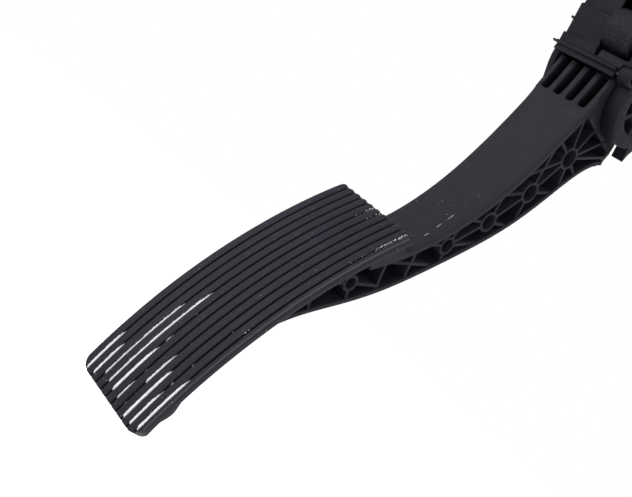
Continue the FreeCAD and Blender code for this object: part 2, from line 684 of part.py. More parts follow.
def back_plate():
    body = box(-BACK_HALF, BACK_HALF, BACK_FRONT_Y, BACK_REAR_Y, BACK_BOTTOM_Z, ROOF_TOP_Z)
    parts = [body]
    for x, z in BOLTS[:2]:
        parts.append(round_y(x, z, BOLT_EAR_R, BACK_FRONT_Y, BACK_REAR_Y))
        arm = sorted((x, 0))
        parts.append(box(*arm, BACK_FRONT_Y, BACK_REAR_Y, z - BOLT_EAR_R, z + BOLT_EAR_R))
    x, z = BOLTS[2]
    r = BOLT_BOSS_R
    root_x = -NOTCH_HALF - 2
    ear = [(root_x, z + 25), (x - r * 0.7, z + r * 0.7), (x, z - r), (root_x, z)]
    parts.append(front_prism(ear, BACK_FRONT_Y, BACK_REAR_Y))
    for x, z in BOLTS:
        parts.append(round_y(x, z, BOLT_BOSS_R, BACK_FRONT_Y, 0))
    notch = box(-NOTCH_HALF, NOTCH_HALF, BACK_FRONT_Y - 1, 1, BACK_BOTTOM_Z - 20, NOTCH_TOP_Z)
    ahead = BACK_FRONT_Y - 1
    bevel = [(ahead, BACK_BOTTOM_Z + FOOT_BEVEL), (BACK_FRONT_Y, BACK_BOTTOM_Z + FOOT_BEVEL),
             (BACK_FRONT_Y + FOOT_BEVEL / 2, BACK_BOTTOM_Z),
             (BACK_FRONT_Y + FOOT_BEVEL / 2, BACK_BOTTOM_Z - 1), (ahead, BACK_BOTTOM_Z - 1)]
    slope = side_prism(bevel, NOTCH_HALF, BACK_HALF + 1)
    return joined(parts + back_ribs()).cut([notch, slope])


def back_ribs():
    """Stiffening ribs behind the back plate, between the bolt bosses."""
    deep = BACK_REAR_Y + 4.0
    low = NOTCH_TOP_Z + 3
    left = (-BOLT_X, 0)
    right = (BOLT_X, 0)
    leg = (NOTCH_HALF + BACK_HALF) / 2
    lines = [(left, right), (left, (-leg, BACK_BOTTOM_Z + 4)), (right, (leg, BACK_BOTTOM_Z + 4)),
             ((-leg, low), (leg, low)), (left, (0, low)), (right, (0, low)), ((-leg, low), BOLTS[2])]
    ribs = []
    for a, b in lines:
        dx = b[0] - a[0]
        dz = b[1] - a[1]
        side = 1.0 / math.hypot(dx, dz)
        nx = -dz * side
        nz = dx * side
        corners = [(a[0] + nx, a[1] + nz), (b[0] + nx, b[1] + nz),
                   (b[0] - nx, b[1] - nz), (a[0] - nx, a[1] - nz)]
        ribs.append(front_prism(corners, BACK_REAR_Y - 0.5, deep))
    return ribs


def cheek_outline(front_low):
    rear = BACK_FRONT_Y + 1
    return front_low + [(-75.0, ROOF_TOP_Z), (rear, ROOF_TOP_Z), (rear, -52.0), (PIVOT_Y, -56.0)]


def left_cheek():
    """Its lower front edge curves back from the lip towards the pivot."""
    low = [(-46.1, -51.7), (-50.3, -46.3), (-53.1, -42.6), (-55.1, -38.9), (-56.9, -33.6), (-75.0, -30.0)]
    return side_prism(cheek_outline(low), LEFT_OUTER, LEFT_INNER)


def right_cheek():
    low = [(PIVOT_Y - DISC_R + 4, PIVOT_Z), (-52.0, SIDE_BOSS_Z + 2), (-75.0, SIDE_BOSS_Z + 2)]
    web = side_prism(cheek_outline(low), RIGHT_INNER, RIGHT_INNER + CHEEK)
    disc = round_x(PIVOT_Y, PIVOT_Z, DISC_R, DISC_INNER, DISC_FACE)
    boss = round_x(SIDE_BOSS_Y, SIDE_BOSS_Z, SIDE_BOSS_R, SIDE_BOSS_LEFT, DISC_FACE)
    return web.fuse([disc, boss])


def disc_pockets():
    """Cored ring pocket in the disc's outer face, crossed by spokes."""
    floor = DISC_FACE - DISC_POCKET
    ring = tube_x(PIVOT_Y, PIVOT_Z, DISC_POCKET_R, DISC_CORE_R, floor, DISC_FACE + 1)
    spokes = []
    for k in range(DISC_SPOKES):
        angle = math.radians(-127.0 + k * 360.0 / DISC_SPOKES)
        end = (PIVOT_Y + 20 * math.cos(angle), PIVOT_Z + 20 * math.sin(angle))
        spokes.append(bar((PIVOT_Y, PIVOT_Z), end, DISC_SPOKE, floor - 1, DISC_FACE + 1))
    return ring.cut(spokes)


def chamber_outline():
    """Seen from the right: a box whose lower front corner is cut off."""
    return [(CHAMBER_FRONT_Y, CHAMBER_TOP_Z), (CHAMBER_REAR_Y, CHAMBER_TOP_Z),
            (CHAMBER_REAR_Y, CHAMBER_BOTTOM_Z), (CHAMBER_FRONT_Y + CHAMBER_SLANT_Y, CHAMBER_BOTTOM_Z),
            (CHAMBER_FRONT_Y, CHAMBER_BOTTOM_Z + CHAMBER_SLANT_Z)]


def chamber_screws():
    front = CHAMBER_FRONT_Y + SCREW_INSET
    rear = CHAMBER_REAR_Y - SCREW_INSET
    low = CHAMBER_BOTTOM_Z + SCREW_INSET
    high = CHAMBER_TOP_Z - SCREW_INSET
    return [(front, high), (rear, high), (rear, low), (front + CHAMBER_SLANT_Y, low)]


def board_rests():
    """(y, z) of the round rests that hold the board from both sides."""
    front = CHAMBER_FRONT_Y + BOARD_REST_SIDE
    rear = CHAMBER_REAR_Y - BOARD_REST_SIDE
    high = CHAMBER_TOP_Z - BOARD_REST_TOP
    return [(front, high), (rear, high), (rear, CHAMBER_BOTTOM_Z + BOARD_REST_SIDE)]


def sensor_chamber():
    outer = side_prism(chamber_outline(), RIM_X, LEFT_OUTER)
    inner = side_prism(inset(chamber_outline(), CHAMBER_WALL), RIM_X - 1, LEFT_OUTER)
    posts = [round_x(y, z, SCREW_BOSS_R, RIM_X, LEFT_OUTER) for y, z in chamber_screws()]
    rests = [round_x(y, z, BOARD_REST_R, BOARD_RIGHT, LEFT_OUTER) for y, z in board_rests()]
    return joined([outer.cut(inner)] + posts + rests)


def pin_row():
    """(low y, high y) of each contact."""
    first = CHAMBER_MID_Y - (PIN_COUNT - 1) / 2 * PIN_PITCH - PIN_WIDE / 2
    starts = [first + k * PIN_PITCH for k in range(PIN_COUNT)]
    return [(y, y + PIN_WIDE) for y in starts]


def bore_cutters():
    """Bores for the bushes, the lever's pin and the bushes' flanges."""
    flange_room = BUSH_R + BUSH_FLANGE + REST_GAP
    return [round_x(PIVOT_Y, PIVOT_Z, BUSH_R, LEFT_OUTER - 1, LEFT_INNER + 1),
            round_x(PIVOT_Y, PIVOT_Z, BUSH_R, RIGHT_INNER - 1, DISC_FACE - BUSH_END),
            round_x(PIVOT_Y, PIVOT_Z, flange_room, DISC_INNER - 1, RIGHT_INNER),
            round_x(LEVER_Y, LEVER_Z, LEVER_PIN_R, LEFT_INNER - PIN_BITE, LEFT_INNER + 1),
            round_x(LEVER_Y, LEVER_Z, LEVER_PIN_R, RIGHT_INNER - 1, RIGHT_INNER + PIN_BITE)]


def screw_cutters(roof_front):
    deep = roof_front + FRONT_SCREW_LENGTH + 4
    front = [round_y(s * FRONT_SCREW_X, FRONT_SCREW_Z, FRONT_SCREW_R, roof_front, deep) for s in (-1, 1)]
    side = [round_x(y, z, SCREW_R, RIM_X - 1, RIM_X + 6.5) for y, z in chamber_screws()]
    bolts = [round_y(x, z, SLEEVE_R, BACK_FRONT_Y - 1, 1) for x, z in BOLTS]
    return front + side + bolts


def housing():
    roof_front = COVER_STEPS[-1][0]
    rear = BACK_FRONT_Y + 1
    right = RIGHT_INNER + CHEEK
    roof = box(LEFT_OUTER, right, roof_front, rear, ROOF_TOP_Z - ROOF, ROOF_TOP_Z)
    bosses = [round_y(s * FRONT_SCREW_X, FRONT_SCREW_Z, FRONT_BOSS_R, roof_front, rear) for s in (-1, 1)]
    body = back_plate().fuse([left_cheek(), right_cheek(), roof, sensor_chamber()] + bosses)
    outside = cover_inside() + [(-95.0, ROOF_TOP_Z), (-95.0, COVER_STEPS[0][1])]
    ahead = side_prism(outside, LEFT_OUTER - 1, right + 1)
    keep = round_x(SIDE_BOSS_Y, SIDE_BOSS_Z, SIDE_BOSS_R, SIDE_BOSS_LEFT, DISC_FACE)
    lip_rear = COVER_STEPS[0][0] + COVER - LIP_FIT
    lip_room = box(LEFT_OUTER - 1, LIP_RIGHT + 1, -70, lip_rear, LIP_Z - LIP_BAND, LIP_Z + LIP_R - LIP_FIT)
    boss_hole = round_x(SIDE_BOSS_Y, SIDE_BOSS_Z, SIDE_BOSS_R - 2.0, DISC_FACE - 4, DISC_FACE + 1)
    stem_z = (IDLE_BOTTOM_Z + IDLE_TOP_Z) / 2
    stem_hole = round_y(HUB_MID, stem_z, BUMPER_STEM_R, BACK_FRONT_Y - 1, BACK_REAR_Y + 5)
    row = pin_row()
    pin_slot = box(BOARD_RIGHT - 0.6, BOARD_RIGHT + PIN_WIDE + 1.2, row[0][0] - 0.6, row[-1][1] + 0.6,
                   CHAMBER_TOP_Z - 3, CHAMBER_TOP_Z + 1)
    cuts = [ahead.cut(keep), lip_room, disc_pockets(), boss_hole, stem_hole, pin_slot]
    return body.cut(cuts + bore_cutters() + screw_cutters(roof_front))


def bush(side):
    """Flanged plain bush: the flange faces the arm hub."""
    flange = CHEEK_GAP - 0.4
    if side == "left":
        span = (LEFT_OUTER + 0.2, LEFT_INNER)
        rim = (LEFT_INNER, LEFT_INNER + flange)
    else:
        span = (RIGHT_INNER, DISC_FACE - BUSH_END)
        rim = (RIGHT_INNER - flange, RIGHT_INNER)
    sleeve = round_x(PIVOT_Y, PIVOT_Z, BUSH_R, *span)
    collar = round_x(PIVOT_Y, PIVOT_Z, BUSH_R + BUSH_FLANGE, *rim)
    bore = round_x(PIVOT_Y, PIVOT_Z, SHAFT_R + RUNNING_GAP, min(span + rim) - 1, max(span + rim) + 1)
    return sleeve.fuse(collar).cut(bore).removeSplitter()


def pivot_shaft():
    flat_end = CARRIER_LEFT + MAGNET + 0.4
    return round_x(PIVOT_Y, PIVOT_Z, SHAFT_R, flat_end, DISC_FACE - 2.0)


def friction_lever():
    """Barrel in the cover's window, a slimmer hub on its left, a spring seat and a nose."""
    barrel = round_x(LEVER_Y, LEVER_Z, BARREL_R, BARREL_LEFT, BARREL_RIGHT)
    hub = round_x(LEVER_Y, LEVER_Z, LEVER_HUB_R, LEVER_LEFT, BARREL_LEFT + 1)
    seat = round_y(SPRING_X, SPRING_Z, SEAT_R, LEVER_Y + SEAT_ROOT, LEVER_SEAT_Y)
    spigot = round_y(SPRING_X, SPRING_Z, SPIGOT_R, LEVER_SEAT_Y - 1, LEVER_SEAT_Y + SPIGOT)
    outline = [(PIVOT_Y + dy, PIVOT_Z + dz) for dy, dz in NOSE]
    nose = side_prism(outline, SPRING_X - SHOE_HALF, SPRING_X + SHOE_HALF)
    body = joined([barrel, hub, seat, spigot, nose.cut(spring_room())])
    drum = round_x(PIVOT_Y, PIVOT_Z, SHOE_OUT_R, LEVER_LEFT - 1, BARREL_RIGHT + 1)
    bore = round_x(LEVER_Y, LEVER_Z, LEVER_PIN_R + RUNNING_GAP, LEVER_LEFT - 1, BARREL_RIGHT + 1)
    return body.cut([drum, bore])


def spring_room():
    return round_y(SPRING_X, SPRING_Z, SEAT_R + REST_GAP, LEVER_SEAT_Y, HORN_REAR_Y)


def friction_shoe():
    """Curved lining on the lever's nose, beside the hub drum."""
    x0 = SPRING_X - SHOE_HALF
    x1 = SPRING_X + SHOE_HALF
    ring = tube_x(PIVOT_Y, PIVOT_Z, SHOE_OUT_R, HUB_DRUM_R + REST_GAP, x0, x1)
    rays = [(PIVOT_Y, PIVOT_Z)]
    for degrees in (SHOE_FROM, (SHOE_FROM + SHOE_TO) / 2, SHOE_TO):
        angle = math.radians(degrees)
        rays.append((PIVOT_Y + 24 * math.cos(angle), PIVOT_Z + 24 * math.sin(angle)))
    return ring.common(side_prism(rays, x0, x1))


def lever_pin():
    return round_x(LEVER_Y, LEVER_Z, LEVER_PIN_R, LEFT_INNER - PIN_BITE, RIGHT_INNER + PIN_BITE)


def spring_seat():
    """Rimmed cup on the front of the horn."""
    cup = round_y(SPRING_X, SPRING_Z, SEAT_R, SEAT_FRONT_Y - SEAT_RIM, HORN_FRONT_Y)
    well = round_y(SPRING_X, SPRING_Z, SEAT_R - 0.9, SEAT_FRONT_Y - SEAT_RIM - 1, SEAT_FRONT_Y)
    spigot = round_y(SPRING_X, SPRING_Z, SPIGOT_R, SEAT_FRONT_Y - 2.0, SEAT_FRONT_Y)
    return cup.cut(well).fuse(spigot).removeSplitter()


def coil(mean_r, wire_r, turns):
    """Compression spring along Y, between the lever's seat and the cup."""
    start = LEVER_SEAT_Y + wire_r
    length = SEAT_FRONT_Y - wire_r - start
    helix = Part.makeHelix(length / turns, length, mean_r)
    ring = Part.Wire(Part.makeCircle(wire_r, vec(mean_r, 0, 0), vec(0, 1, 0)))
    wire = Part.Wire(helix.Edges).makePipeShell([ring], True, True)
    wire.rotate(vec(0, 0, 0), vec(1, 0, 0), -90)
    wire.translate(vec(SPRING_X, start, SPRING_Z))
    return wire


def idle_stop_bumper():
    left = HUB_MID - BUMPER_HALF
    right = HUB_MID + BUMPER_HALF
    pad = box(left, right, HORN_REAR_Y + BUMPER_GAP, BACK_FRONT_Y, IDLE_BOTTOM_Z, IDLE_TOP_Z)
    stem = round_y(HUB_MID, (IDLE_BOTTOM_Z + IDLE_TOP_Z) / 2, BUMPER_STEM_R, BACK_FRONT_Y - 0.5, BACK_REAR_Y)
    return joined([pad, stem])


def full_stop_bumper():
    """Wedge under the back plate's bridge, which the heel meets at full travel."""
    low = NOTCH_TOP_Z - STOP_REACH
    outline = [(STOP_FRONT_Y, NOTCH_TOP_Z), (STOP_REAR_Y, NOTCH_TOP_Z), (STOP_REAR_Y, low - STOP_SLOPE),
               (STOP_FRONT_Y, low)]
    return side_prism(outline, HUB_MID - BUMPER_HALF, HUB_MID + BUMPER_HALF)


def magnet_carrier():
    disc = round_x(PIVOT_Y, PIVOT_Z, CARRIER_R, CARRIER_LEFT, CARRIER_RIGHT)
    shaft = round_x(PIVOT_Y, PIVOT_Z, SHAFT_R, CARRIER_LEFT + MAGNET + 0.4, CARRIER_RIGHT + 1)
    return disc.cut([shaft, round_x(PIVOT_Y, PIVOT_Z, MAGNET_R, CARRIER_LEFT - 1, CARRIER_LEFT + MAGNET)])


def circuit_board():
    board = side_prism(inset(chamber_outline(), CHAMBER_WALL + BOARD_GAP), BOARD_LEFT, BOARD_RIGHT)
    room = SCREW_BOSS_R + BOARD_GAP
    return board.cut([round_x(y, z, room, BOARD_LEFT - 1, BOARD_RIGHT + 1) for y, z in chamber_screws()])


def hall_sensor():
    h = CHIP_HALF
    return box(BOARD_RIGHT, CHIP_RIGHT, PIVOT_Y - h, PIVOT_Y + h, PIVOT_Z - h, PIVOT_Z + h)


def board_parts():
    """Small capacitors and a resistor on the board's inner face, as separate solids."""
    chips = []
    for dy, dz in CHIP_PLACES:
        y = PIVOT_Y + dy
        z = PIVOT_Z + dz
        chips.append(box(BOARD_RIGHT, BOARD_RIGHT + CHIP - 0.1, y, y + CHIP_HALF, z, z + CHIP_HALF / 2))
    return Part.makeCompound(chips)


def terminal_pins():
    pins = [box(BOARD_RIGHT, BOARD_RIGHT + PIN_WIDE, y0, y1, PIN_FOOT_Z, PIN_TOP_Z) for y0, y1 in pin_row()]
    return Part.makeCompound(pins)


def cover_seal():
    outline = inset(chamber_outline(), (CHAMBER_WALL - SEAL_WIDTH) / 2)
    ring = side_prism(outline, COVER_INNER_X, RIM_X)
    return ring.cut(side_prism(inset(outline, SEAL_WIDTH), COVER_INNER_X - 1, RIM_X + 1))


def socket():
    """Hollow shroud for the plug, with a catch on its outer face, and its cavity."""
    bottom = CHAMBER_TOP_Z
    top = bottom + SOCKET_HEIGHT
    w = SOCKET_WALL
    x1 = COVER_OUTER_X + SOCKET_DEPTH
    shroud = box(COVER_OUTER_X, x1, SOCKET_FRONT_Y, SOCKET_REAR_Y, bottom, top)
    cavity = box(COVER_OUTER_X + w, x1 - w, SOCKET_FRONT_Y + w, SOCKET_REAR_Y - w, bottom + w + 0.4, top + 1)
    latch = box(COVER_OUTER_X - LATCH_OUT, COVER_OUTER_X + 0.5, CHAMBER_MID_Y - LATCH_HALF,
                CHAMBER_MID_Y + LATCH_HALF, top - 2 * LATCH_HIGH, top - LATCH_HIGH)
    return [shroud, latch], cavity


def sensor_cover():
    plate = side_prism(chamber_outline(), COVER_OUTER_X, COVER_INNER_X)
    shells, cavity = socket()
    holes = []
    for y, z in chamber_screws():
        holes.append(round_x(y, z, SCREW_R + SCREW_HOLE_GAP, COVER_OUTER_X - 1, COVER_INNER_X + 1))
    studs = [round_x(y, z, BOARD_REST_R, COVER_OUTER_X, BOARD_LEFT) for y, z in board_rests()]
    body = joined([plate] + shells + studs).cut([cavity] + holes)
    return body.cut(terminal_pins()).removeSplitter()


def sensor_cover_screws():
    screws = []
    face = COVER_OUTER_X - SCREW_HEAD
    half = DRIVE_WIDTH / 2
    for y, z in chamber_screws():
        head = round_x(y, z, SCREW_HEAD_R, face, COVER_OUTER_X)
        cross = box(face - 1, face + DRIVE_DEPTH, y - DRIVE_HALF, y + DRIVE_HALF, z - half, z + half)
        shank = round_x(y, z, SCREW_R - RUNNING_GAP, COVER_OUTER_X, COVER_OUTER_X + SCREW_LENGTH)
        screws.append(head.fuse(shank).cut(cross).removeSplitter())
    return Part.makeCompound(screws)


def cover_screws():
    seat = COVER_STEPS[-1][0]
    face = seat - FRONT_SCREW_HEAD
    half = FRONT_DRIVE_WIDTH / 2
    z = FRONT_SCREW_Z
    screws = []
    for side in (-1, 1):
        x = side * FRONT_SCREW_X
        head = round_y(x, z, FRONT_SCREW_HEAD_R, face, seat)
        slot = box(x - FRONT_DRIVE_HALF, x + FRONT_DRIVE_HALF, face - 1, face + FRONT_DRIVE_DEPTH,
                   z - half, z + half)
        shank = round_y(x, z, FRONT_SCREW_R - RUNNING_GAP, seat, seat + FRONT_SCREW_LENGTH)
        screws.append(head.fuse(shank).cut(slot).removeSplitter())
    return Part.makeCompound(screws)


def bolt_sleeves():
    sleeves = [round_y(x, z, SLEEVE_R, BACK_FRONT_Y, 0).cut(round_y(x, z, BOLT_HOLE_R, BACK_FRONT_Y - 1, 1))
               for x, z in BOLTS]
    return Part.makeCompound(sleeves)


NODES = {
    "pedal_arm": pedal_arm,
    "pedal_pad": pedal_pad,
    "housing": housing,
    "front_cover": front_cover,
    "sensor_cover": sensor_cover,
    "cover_seal": cover_seal,
    "pivot_shaft": pivot_shaft,
    "pivot_bush_left": lambda: bush("left"),
    "pivot_bush_right": lambda: bush("right"),
    "friction_lever": friction_lever,
    "friction_shoe": friction_shoe,
    "lever_pin": lever_pin,
    "return_spring_outer": lambda: coil(OUTER_COIL_R, OUTER_WIRE_R, OUTER_TURNS),
    "return_spring_inner": lambda: coil(INNER_COIL_R, INNER_WIRE_R, INNER_TURNS),
    "spring_seat": spring_seat,
    "idle_stop_bumper": idle_stop_bumper,
    "full_stop_bumper": full_stop_bumper,
    "magnet_carrier": magnet_carrier,
    "sensor_magnet": lambda: round_x(PIVOT_Y, PIVOT_Z, MAGNET_R, CARRIER_LEFT, CARRIER_LEFT + MAGNET),
    "circuit_board": circuit_board,
    "hall_sensor": hall_sensor,
    "board_parts": board_parts,
    "terminal_pins": terminal_pins,
    "sensor_cover_screws": sensor_cover_screws,
    "cover_screws": cover_screws,
    "bolt_sleeves": bolt_sleeves,
}

os.makedirs("parts", exist_ok=True)
for name, make in NODES.items():
    shape = make()
    state = "valid" if shape.isValid() else "NOT VALID"
    print(name, len(shape.Solids), "solids", round(shape.Volume), "mm3", state)
    shape.exportStep("parts/" + name + ".step")
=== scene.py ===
import json
import math

import bmesh
import bpy
from mathutils import Matrix, Vector

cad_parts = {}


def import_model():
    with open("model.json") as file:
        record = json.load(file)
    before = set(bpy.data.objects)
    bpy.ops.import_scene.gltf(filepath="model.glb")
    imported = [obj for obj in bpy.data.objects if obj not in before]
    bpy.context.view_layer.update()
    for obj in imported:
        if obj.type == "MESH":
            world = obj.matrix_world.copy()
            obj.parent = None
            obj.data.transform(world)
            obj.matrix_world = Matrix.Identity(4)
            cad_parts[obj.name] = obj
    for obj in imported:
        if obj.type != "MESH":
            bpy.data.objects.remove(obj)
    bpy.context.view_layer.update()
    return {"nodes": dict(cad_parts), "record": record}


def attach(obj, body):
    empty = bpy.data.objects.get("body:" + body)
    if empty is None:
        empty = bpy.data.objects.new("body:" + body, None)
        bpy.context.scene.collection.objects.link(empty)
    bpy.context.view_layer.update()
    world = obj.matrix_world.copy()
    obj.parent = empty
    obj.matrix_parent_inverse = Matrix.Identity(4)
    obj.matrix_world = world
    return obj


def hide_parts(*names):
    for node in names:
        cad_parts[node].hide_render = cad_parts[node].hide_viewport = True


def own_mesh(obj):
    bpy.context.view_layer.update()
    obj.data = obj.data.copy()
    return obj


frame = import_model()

NODES = frame["nodes"]
MM = 0.001

# Camera of the photograph, in the part's frame
CAMERA_AT = Vector((0.267, -0.453, -0.185))
CAMERA_RIGHT = Vector((0.576054, 0.503249, 0.644129))
CAMERA_UP = Vector((-0.514284, -0.389366, 0.764138))
CAMERA_BACK = Vector((0.635354, -0.771450, 0.034516))
SENSOR = 36.0
LENS = 51.27

# Stage and light
FLOOR_Z = -0.62
FLOOR_HALF = 6.0
FLOOR_GLOW = 0.82
FLOOR_COLOUR = 0.8
AMBIENT = 0.26

# Foot pad, in millimetres: the same arc, width and depth as the CAD's pad
PAD_LEFT = -35.3
PAD_RIGHT = 20.5
PAD_ARC_R = 281.6
PAD_ARC_Y = 116.8
PAD_ARC_Z = -343.6
PAD_START = math.radians(141.1)
PAD_LENGTH = 158.3
PAD_SIDE = 4.4
PAD_SKIN = 2.1
PAD_WALL = 1.6
UPPER_CORNER = 2.2
LOWER_CORNER = 8.0
RIDGES = 11
PITCH = 5.27
CHAMFER_WIDE = 1.2
CHAMFER_HIGH = 1.7
RIDGE_TOP = 1.5
RIDGE_ARCH = 0.22
GROOVE_FLOOR = -0.4
GROOVE_HALF = 0.22
GROOVE_SLOPE = 0.5
EDGE_SLOPE = 0.8
EDGE_RISE = 0.8
NOSE_SLOPE = 1.7
NOSE_AHEAD = 0.9
END_DROP = 0.5
BUMP_FROM = 133.5
BUMP_TO = 146.5
BUMP_DEPTH = 1.9
STUDS = [(-25.3, 18.0), (-25.3, 79.15), (-23.3, 133.3), (12.5, 133.3)]
STUD_LENGTH = 10.6
STUD_MIDDLE = 4.3
STUD_HALF = 3.0
STUD_HEAD = 1.3
STUD_EASE = 0.4

# Painted highlights, white streaks in the pad's grooves: groove, start and end along the pad, half width
PAINTED_GROOVE_STREAKS = [(1, 131.0, 158.0, 0.8), (2, 134.5, 157.2, 0.75), (3, 100.5, 153.0, 0.6), (4, 88.5, 153.6, 0.65),
           (5, 124.0, 154.2, 0.85), (5, 115.6, 122.8, 0.5), (6, 140.0, 155.2, 0.6), (6, 133.8, 139.0, 0.4),
           (7, 118.8, 140.8, 0.65), (7, 142.0, 148.5, 0.35), (7, 149.0, 156.0, 0.4), (8, 126.0, 157.2, 0.85),
           (9, 134.5, 157.0, 0.75), (9, 129.0, 133.2, 0.45), (9, 117.2, 121.4, 0.4), (10, 122.5, 155.6, 0.8),
           (10, 115.2, 119.6, 0.4)]
# Painted highlights, fine white glint dots beside the grooves: groove, start, end, strength
PAINTED_GLINTS = [(10, -1.0, 62.0, 1.0), (5, -1.0, 24.0, 0.95), (6, -1.0, 26.0, 0.85), (4, 4.0, 40.0, 0.6),
           (7, 20.0, 60.0, 0.45), (9, 96.0, 120.0, 0.7), (3, 10.0, 34.0, 0.4), (10, 90.0, 112.0, 0.8),
           (8, 118.0, 128.0, 0.6)]

# Marks on the arm: two ends in millimetres, half width, strength. The last is the faint moulded line.
SCRATCHES = [((12.7, -83.0, -153.6), (11.6, -77.2, -143.7), 0.17, 0.8),
             ((13.8, -88.0, -161.1), (13.8, -86.5, -159.0), 0.2, 0.6),
             ((11.7, -76.9, -143.2), (10.1, -68.9, -125.9), 0.10, 0.12),
             ((7.0, -56.0, -63.6), (18.0, -55.9, -62.2), 0.3, 0.012)]
SPECKS = [(-0.2, -77.1, -143.6), (-0.3, -75.7, -140.9), (6.2, -74.9, -139.4), (8.9, -78.1, -145.3),
          (10.2, -72.8, -135.0), (-9.8, -80.2, -149.0)]
SPECK_R = 0.2
SPECK_LENGTH = 0.25
SPECK_STRENGTH = 0.3
DUST = (0.16, 0.17, 0.19)
WHITE = (0.95, 0.95, 0.95)
# How far the plastics' tone and roughness wander
CLOUD_TONE = 0.14
CLOUD_SHEEN = 0.07


def node(tree, kind, **values):
    """New shader node, with its properties and unlinked inputs set."""
    made = tree.nodes.new(kind)
    for name, value in values.items():
        if hasattr(made, name):
            setattr(made, name, value)
        else:
            made.inputs[name.replace("_", " ")].default_value = value
    return made


def link(tree, source, socket):
    tree.links.new(source, socket)


def new_material(name):
    made = bpy.data.materials.new(name)
    made.use_nodes = True
    made.node_tree.nodes.clear()
    return made, made.node_tree


def camera():
    data = bpy.data.cameras.new("camera")
    data.sensor_width = SENSOR
    data.lens = LENS
    data.clip_start = 0.01
    data.clip_end = 50.0
    made = bpy.data.objects.new("camera", data)
    rows = Matrix((CAMERA_RIGHT, CAMERA_UP, CAMERA_BACK)).transposed()
    made.matrix_world = Matrix.Translation(CAMERA_AT) @ rows.to_4x4()
    bpy.context.scene.collection.objects.link(made)
    bpy.context.scene.camera = made


def area_lamp(name, place, target, size, watts):
    data = bpy.data.lights.new(name, "AREA")
    data.shape = "RECTANGLE"
    data.size = size[0]
    data.size_y = size[1]
    data.energy = watts
    made = bpy.data.objects.new(name, data)
    made.location = place
    aim = Vector(place) - Vector(target)
    made.rotation_mode = "QUATERNION"
    made.rotation_quaternion = aim.to_track_quat("Z", "Y")
    bpy.context.scene.collection.objects.link(made)


def seen(tree):
    """1 where the camera, a gloss or a clear surface looks, 0 for other light."""
    path = node(tree, "ShaderNodeLightPath")
    total = path.outputs["Is Camera Ray"]
    for name in ("Is Glossy Ray", "Is Transmission Ray"):
        more = node(tree, "ShaderNodeMath", operation="MAXIMUM")
        link(tree, total, more.inputs[0])
        link(tree, path.outputs[name], more.inputs[1])
        total = more.outputs[0]
    return total


def world():
    made = bpy.data.worlds.new("studio")
    bpy.context.scene.world = made
    made.use_nodes = True
    tree = made.node_tree
    tree.nodes.clear()
    looked_at = seen(tree)
    dim = node(tree, "ShaderNodeBackground", Color=(1.0, 1.0, 1.0, 1.0), Strength=AMBIENT)
    white = node(tree, "ShaderNodeBackground", Color=(1.0, 1.0, 1.0, 1.0), Strength=1.0)
    mix = node(tree, "ShaderNodeMixShader")
    out = node(tree, "ShaderNodeOutputWorld")
    link(tree, looked_at, mix.inputs[0])
    link(tree, dim.outputs[0], mix.inputs[1])
    link(tree, white.outputs[0], mix.inputs[2])
    link(tree, mix.outputs[0], out.inputs[0])


def floor():
    """Pale floor: plain matte for the light that it gives, white with the shadow where it is seen."""
    mesh = bpy.data.meshes.new("floor")
    h = FLOOR_HALF
    corners = [(-h, -h, FLOOR_Z), (h, -h, FLOOR_Z), (h, h, FLOOR_Z), (-h, h, FLOOR_Z)]
    mesh.from_pydata(corners, [], [(0, 1, 2, 3)])
    made = bpy.data.objects.new("floor", mesh)
    bpy.context.scene.collection.objects.link(made)
    material, tree = new_material("floor")
    matte = node(tree, "ShaderNodeBsdfDiffuse", Color=(FLOOR_COLOUR, FLOOR_COLOUR, FLOOR_COLOUR, 1.0))
    glow = node(tree, "ShaderNodeEmission", Color=(1.0, 1.0, 1.0, 1.0), Strength=FLOOR_GLOW)
    lit = node(tree, "ShaderNodeAddShader")
    mix = node(tree, "ShaderNodeMixShader")
    out = node(tree, "ShaderNodeOutputMaterial")
    link(tree, matte.outputs[0], lit.inputs[0])
    link(tree, glow.outputs[0], lit.inputs[1])
    link(tree, seen(tree), mix.inputs[0])
    link(tree, matte.outputs[0], mix.inputs[1])
    link(tree, lit.outputs[0], mix.inputs[2])
    link(tree, mix.outputs[0], out.inputs[0])
    mesh.materials.append(material)


def math_node(tree, operation, a, b=None, clamp=False):
    """Result of one sum; a and b are sockets or numbers."""
    made = node(tree, "ShaderNodeMath", operation=operation, use_clamp=clamp)
    for k, value in enumerate((a, b)):
        if value is None:
            continue
        if isinstance(value, (int, float)):
            made.inputs[k].default_value = value
        else:
            link(tree, value, made.inputs[k])
    return made.outputs[0]


def ramp(tree, value, low, high):
    """0 below low, 1 above high, smooth between; low may be above high."""
    made = node(tree, "ShaderNodeMapRange", interpolation_type="SMOOTHSTEP")
    flip = low > high
    made.inputs["From Min"].default_value = min(low, high)
    made.inputs["From Max"].default_value = max(low, high)
    made.inputs["To Min"].default_value = 1.0 if flip else 0.0
    made.inputs["To Max"].default_value = 0.0 if flip else 1.0
    link(tree, value, made.inputs["Value"])
    return made.outputs[0]


def noise(tree, place, size_mm, detail=3.0, roughness=0.6):
    made = node(tree, "ShaderNodeTexNoise", Scale=1.0 / (size_mm * MM), Detail=detail, Roughness=roughness)
    link(tree, place, made.inputs["Vector"])
    return made.outputs["Fac"]


def blended(tree, factor, under, over):
    """Colour: under where the factor is 0, over where it is 1. Each is a socket or three numbers."""
    made = node(tree, "ShaderNodeMix", data_type="RGBA")
    link(tree, factor, made.inputs["Factor"])
    for socket, value in ((made.inputs[6], under), (made.inputs[7], over)):
        if isinstance(value, tuple):
            socket.default_value = value + (1.0,)
        else:
            link(tree, value, socket)
    return made.outputs[2]


